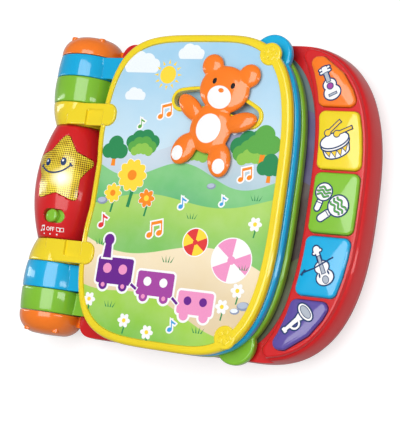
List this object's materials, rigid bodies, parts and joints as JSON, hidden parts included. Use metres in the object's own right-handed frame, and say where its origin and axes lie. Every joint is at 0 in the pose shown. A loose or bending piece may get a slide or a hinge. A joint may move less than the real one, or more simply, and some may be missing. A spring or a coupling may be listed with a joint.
{
  "type": "sound book",
  "caption": "Toy sound book: stiff leaves turn on a round spine with a light-up star, over a base with a row of sound keys; a teddy bear slides on the cover.",
  "frame": {"origin": "centre of the bounding box at the table, under the base", "axes": "+X from the spine to the keys, +Y up the page, +Z out of the cover"},
  "size_m": [0.2698, 0.2314, 0.0562],
  "materials": {
    "red": "glossy moulded red plastic",
    "orange": "glossy moulded orange plastic",
    "yellow": "glossy moulded yellow plastic",
    "key_yellow": "glossy moulded yellow plastic",
    "green": "glossy moulded green plastic",
    "blue": "glossy moulded blue plastic",
    "purple": "glossy moulded purple plastic",
    "bear": "glossy moulded orange plastic",
    "white": "white plastic",
    "black": "black plastic",
    "star_lens": "clear lens with gold dots behind it",
    "led": "milky LED",
    "board": "green circuit board",
    "dome_rubber": "pale silicone rubber",
    "speaker_frame": "dark speaker frame",
    "cone": "black paper cone",
    "cell": "plain wrapped dry cell",
    "steel": "plated steel",
    "page_print": "printed page",
    "sky_print": "printed page",
    "sand_print": "printed page",
    "meadow_print": "printed page",
    "pink_print": "printed page"
  },
  "bodies": {
    "base": {"base_top_shell": "red", "base_bottom_shell": "red", "base_page_print": "page_print", "star_housing": "red", "star_lens": "star_lens", "star_reflector": "white", "star_led_board": "board", "star_led": "led", "mode_switch_body": "black", "spine_cap_top": "orange", "spine_cap_bottom": "orange", "hinge_shaft_upper": "steel", "hinge_shaft_lower": "steel", "key_board": "board", "key_dome_mat": "dome_rubber", "speaker": "speaker_frame", "speaker_cone": "cone", "battery_door": "red", "battery_door_screw": "steel", "battery_cell_1": "cell", "battery_cell_2": "cell", "contact_spring": "steel", "contact_plate": "steel", "case_screw_1": "steel", "case_screw_2": "steel", "case_screw_3": "steel", "case_screw_4": "steel", "case_screw_5": "steel", "case_screw_6": "steel"},
    "green_leaf_body": {"green_leaf": "green", "green_leaf_front_print": "sky_print", "green_leaf_back_print": "sand_print"},
    "blue_leaf_body": {"blue_leaf": "blue", "blue_leaf_front_print": "meadow_print", "blue_leaf_back_print": "sky_print"},
    "yellow_leaf_body": {"yellow_leaf": "yellow", "cover_front_print": "meadow_print", "cover_back_print": "pink_print"},
    "bear_body": {"bear_slider": "bear", "bear_retainer": "white", "bear_screw": "steel"},
    "key_orange_guitar_body": {"key_orange_guitar": "orange"},
    "key_yellow_drum_body": {"key_yellow_drum": "key_yellow"},
    "key_green_maracas_body": {"key_green_maracas": "green"},
    "key_blue_violin_body": {"key_blue_violin": "blue"},
    "key_purple_trumpet_body": {"key_purple_trumpet": "purple"},
    "mode_slider_body": {"mode_slider": "green"}
  },
  "joints": [
    {"name": "green_leaf_hinge", "type": "hinge", "parent": "base", "child": "green_leaf_body", "pos_m": [-0.107, 0, 0.028], "axis": [0, -1, 0], "range_deg": [0, 180]},
    {"name": "blue_leaf_hinge", "type": "hinge", "parent": "green_leaf_body", "child": "blue_leaf_body", "pos_m": [-0.107, 0, 0.028], "axis": [0, -1, 0], "range_deg": [0, 180]},
    {"name": "yellow_leaf_hinge", "type": "hinge", "parent": "blue_leaf_body", "child": "yellow_leaf_body", "pos_m": [-0.107, 0, 0.028], "axis": [0, -1, 0], "range_deg": [0, 180]},
    {"name": "bear_swing", "type": "hinge", "parent": "yellow_leaf_body", "child": "bear_body", "pos_m": [0.0052, -0.0136, 0.0499], "axis": [0, 0, 1], "range_deg": [-14.5, 14.5]},
    {"name": "mode_slide", "type": "slide", "parent": "base", "child": "mode_slider_body", "axis": [1, 0, 0], "range_m": [-0.0036, 0.0036]},
    {"name": "key_orange_guitar_press", "type": "slide", "parent": "base", "child": "key_orange_guitar_body", "axis": [0, 0, -1], "range_m": [0, 0.002], "stiffness_N_per_m": 300, "springref_m": -0.003},
    {"name": "key_yellow_drum_press", "type": "slide", "parent": "base", "child": "key_yellow_drum_body", "axis": [0, 0, -1], "range_m": [0, 0.002], "stiffness_N_per_m": 300, "springref_m": -0.003},
    {"name": "key_green_maracas_press", "type": "slide", "parent": "base", "child": "key_green_maracas_body", "axis": [0, 0, -1], "range_m": [0, 0.002], "stiffness_N_per_m": 300, "springref_m": -0.003},
    {"name": "key_blue_violin_press", "type": "slide", "parent": "base", "child": "key_blue_violin_body", "axis": [0, 0, -1], "range_m": [0, 0.002], "stiffness_N_per_m": 300, "springref_m": -0.003},
    {"name": "key_purple_trumpet_press", "type": "slide", "parent": "base", "child": "key_purple_trumpet_body", "axis": [0, 0, -1], "range_m": [0, 0.002], "stiffness_N_per_m": 300, "springref_m": -0.003}
  ]
}
